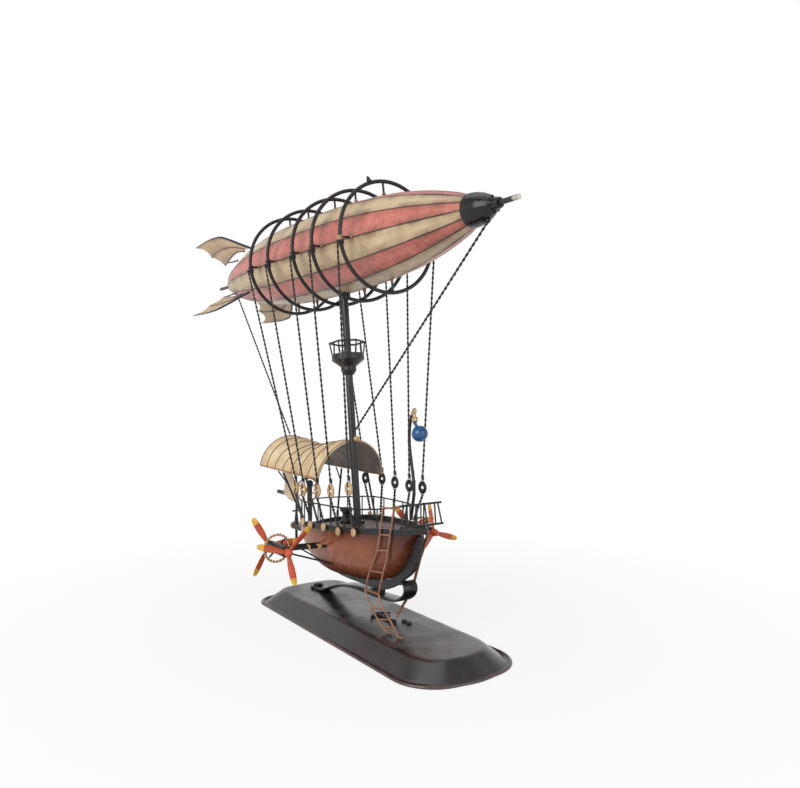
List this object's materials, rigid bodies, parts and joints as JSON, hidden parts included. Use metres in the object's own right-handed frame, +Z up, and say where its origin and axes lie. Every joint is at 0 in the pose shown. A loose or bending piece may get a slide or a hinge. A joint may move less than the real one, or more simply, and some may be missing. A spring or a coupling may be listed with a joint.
{
  "type": "steampunk airship model",
  "caption": "Painted metal airship model: striped gas envelope in wire rings over a small sailing-ship hull with propellers, on a pressed tray base.",
  "frame": {"origin": "on the table plane under the tray, on the ship's centre plane, 129 mm ahead of the tray's stern edge", "axes": "+X towards the bow and nose, +Y to port, +Z up"},
  "size_m": [0.498, 0.1906, 0.3557],
  "materials": {
    "tray_black": "satin black paint rubbed red-brown at the edges",
    "black_iron": "satin black paint",
    "hull_brown": "satin red-brown paint, darker at the edges",
    "deck_grey": "grey-brown plank paint",
    "envelope_paint": "aged cream and red stripes, satin",
    "cream_paint": "aged cream paint with brown ribs",
    "canopy_paint": "cream paint outside, dark grey inside",
    "rope_wire": "black twisted wire",
    "gold": "antique gold",
    "copper_wire": "dull copper",
    "blue_paint": "gloss blue paint",
    "prop_orange": "orange-red paint, yellow tips"
  },
  "bodies": {
    "airship": {"base_tray": "tray_black", "base_bolts": "black_iron", "strap_cradle": "black_iron", "keel_bar": "black_iron", "hull_shell": "hull_brown", "gunwale_band": "black_iron", "deck": "deck_grey", "rail_starboard": "black_iron", "rail_port": "black_iron", "bow_rail": "black_iron", "mast": "black_iron", "mast_collar": "black_iron", "crows_nest": "black_iron", "nest_rail": "black_iron", "mast_bracket": "black_iron", "mast_ball": "gold", "envelope": "envelope_paint", "nose_cap": "black_iron", "axis_rod": "black_iron", "ring_1": "black_iron", "ring_2": "black_iron", "ring_3": "black_iron", "ring_4": "black_iron", "ring_5": "black_iron", "fin_upper_starboard": "cream_paint", "fin_upper_port": "cream_paint", "fin_lower_starboard": "cream_paint", "fin_lower_port": "cream_paint", "shrouds_starboard": "rope_wire", "shrouds_port": "rope_wire", "washers_starboard": "gold", "washers_port": "black_iron", "chains_starboard": "black_iron", "chains_port": "black_iron", "deadeyes": "gold", "bow_stay": "rope_wire", "tail_stay": "rope_wire", "canopy": "canopy_paint", "canopy_posts": "black_iron", "stern_block": "black_iron", "stern_disc": "gold", "wheel_post": "black_iron", "capstan_base": "black_iron", "davit": "black_iron", "davit_hook": "gold", "ladder": "copper_wire", "anchor_line": "copper_wire", "anchor": "copper_wire", "outrigger_starboard": "black_iron", "outrigger_port": "black_iron", "guard_ring_starboard": "gold", "guard_ring_port": "gold"},
    "prop_starboard_front": {"prop_starboard_front": "prop_orange"},
    "prop_starboard_rear": {"prop_starboard_rear": "prop_orange"},
    "prop_port_front": {"prop_port_front": "prop_orange"},
    "prop_port_rear": {"prop_port_rear": "prop_orange"},
    "wheel": {"ship_wheel": "gold"},
    "capstan": {"capstan_head": "black_iron"},
    "ball": {"signal_ball": "blue_paint"},
    "vane": {"stern_vane": "cream_paint"}
  },
  "joints": [
    {"name": "prop_starboard_front_spin", "type": "hinge", "parent": "airship", "child": "prop_starboard_front", "pos_m": [-0.0102, -0.0696, 0.0675], "axis": [1, 0, 0], "continuous": true},
    {"name": "prop_starboard_rear_spin", "type": "hinge", "parent": "airship", "child": "prop_starboard_rear", "pos_m": [-0.0453, -0.0696, 0.0675], "axis": [1, 0, 0], "continuous": true},
    {"name": "prop_port_front_spin", "type": "hinge", "parent": "airship", "child": "prop_port_front", "pos_m": [-0.0102, 0.0696, 0.0675], "axis": [1, 0, 0], "continuous": true},
    {"name": "prop_port_rear_spin", "type": "hinge", "parent": "airship", "child": "prop_port_rear", "pos_m": [-0.0453, 0.0696, 0.0675], "axis": [1, 0, 0], "continuous": true},
    {"name": "wheel_spin", "type": "hinge", "parent": "airship", "child": "wheel", "pos_m": [-0.113, 0, 0.0983], "axis": [1, 0, 0], "continuous": true},
    {"name": "capstan_spin", "type": "hinge", "parent": "airship", "child": "capstan", "pos_m": [-0.042, 0, 0.084], "axis": [0, 0, 1], "continuous": true},
    {"name": "ball_swing", "type": "hinge", "parent": "airship", "child": "ball", "pos_m": [0.0192, 0.02753, 0.165], "axis": [0, 1, 0], "range_deg": [-10, 30]},
    {"name": "vane_turn", "type": "hinge", "parent": "airship", "child": "vane", "pos_m": [-0.1358, 0, 0.0925], "axis": [0, 0, 1], "range_deg": [-25, 25]}
  ]
}
